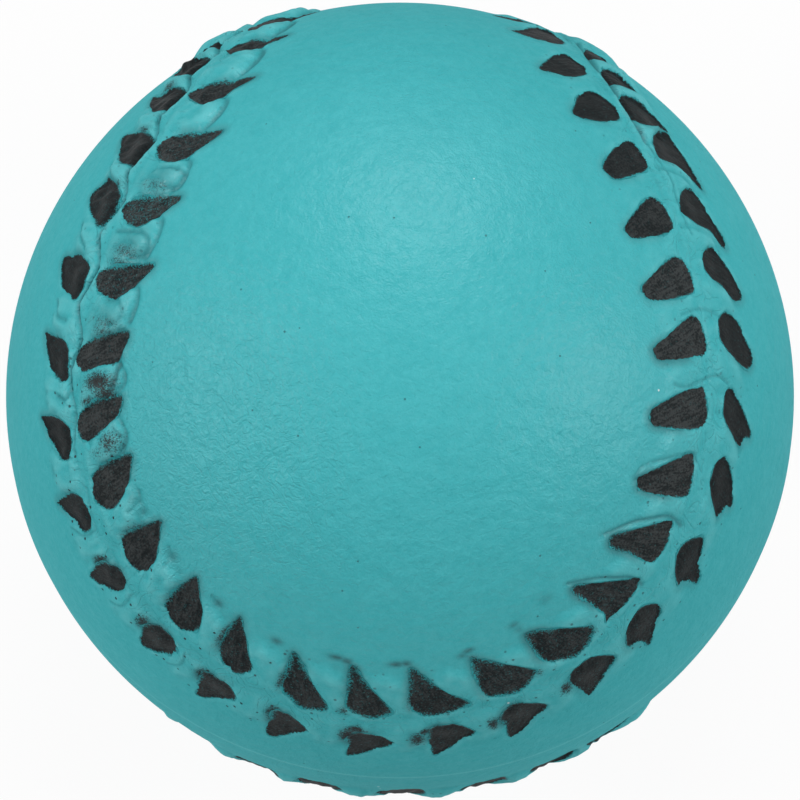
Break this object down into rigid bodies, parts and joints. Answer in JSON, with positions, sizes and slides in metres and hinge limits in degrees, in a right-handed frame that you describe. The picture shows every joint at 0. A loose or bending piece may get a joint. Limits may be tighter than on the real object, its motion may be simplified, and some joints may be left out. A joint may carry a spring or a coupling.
{
  "type": "foam play ball",
  "caption": "Soft moulded foam ball with a curved raised seam and painted herringbone stitches on both sides of it.",
  "frame": {"origin": "centre of the ball", "axes": "+Z square to the plane where the two mould halves meet, out through the middle of the upper half; +Y and -Y out through the two places where the seam comes closest to itself; the upper bend of the seam is towards -Y"},
  "size_m": [0.0635, 0.0634, 0.0636],
  "materials": {
    "core_foam": "open cell polyurethane foam",
    "skin": "matte moulded foam skin with a fine wrinkle",
    "stitch_paint": "thin satin black paint, sprayed and brushed"
  },
  "bodies": {
    "root": {"foam_core": "core_foam", "upper_skin": "skin", "lower_skin": "skin", "upper_inner_stitches": "stitch_paint", "upper_outer_stitches": "stitch_paint", "lower_inner_stitches": "stitch_paint", "lower_outer_stitches": "stitch_paint"}
  },
  "joints": []
}
